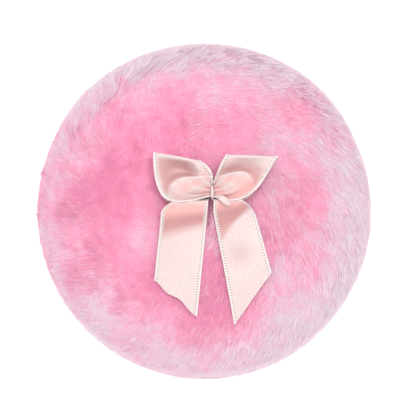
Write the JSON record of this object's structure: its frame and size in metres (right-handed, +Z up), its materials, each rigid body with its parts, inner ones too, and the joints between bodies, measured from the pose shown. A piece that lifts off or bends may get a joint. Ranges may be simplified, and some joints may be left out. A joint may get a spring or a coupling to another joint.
{
  "type": "powder puff",
  "caption": "Round plush powder puff with a crowned, soft-filled body and a satin ribbon bow with free loops and tails sewn to its crown.",
  "frame": {"origin": "on the resting surface, under the middle of the puff", "axes": "+Z up through the crown, -Y the way the bow's tails hang, +X to the right of a reader who has the tails nearest"},
  "size_m": [0.097, 0.097, 0.0493],
  "materials": {
    "plush": "long soft pile, frosted at the tips",
    "wadding": "matt fibre wadding",
    "thread": "spun thread",
    "ribbon": "woven satin with beaded selvedges"
  },
  "bodies": {
    "puff": {"upper_cover": "plush", "lower_cover": "plush", "filling": "wadding", "seam_needle_thread": "thread", "seam_bobbin_thread": "thread", "closing_stitch": "thread", "bow_tack": "thread", "bow_waist": "ribbon", "knot_band": "ribbon", "left_tail_root": "ribbon", "right_tail_root": "ribbon"},
    "left_loop": {"left_loop": "ribbon"},
    "right_loop": {"right_loop": "ribbon"},
    "left_tail": {"left_tail": "ribbon"},
    "right_tail": {"right_tail": "ribbon"}
  },
  "joints": [
    {"name": "left_tail_lift", "type": "hinge", "parent": "puff", "child": "left_tail", "pos_m": [-0.0055, -0.0047, 0.0444], "axis": [-1, 0, 0], "range_deg": [0, 85]},
    {"name": "right_tail_lift", "type": "hinge", "parent": "puff", "child": "right_tail", "pos_m": [0.0083, -0.0047, 0.0444], "axis": [-1, 0, 0], "range_deg": [0, 85]},
    {"name": "left_loop_lift", "type": "hinge", "parent": "puff", "child": "left_loop", "pos_m": [0.00055, 0.0013, 0.0471], "axis": [0, 1, 0], "range_deg": [0, 30]},
    {"name": "right_loop_lift", "type": "hinge", "parent": "puff", "child": "right_loop", "pos_m": [0.00385, 0.0013, 0.0471], "axis": [0, -1, 0], "range_deg": [0, 30]}
  ]
}
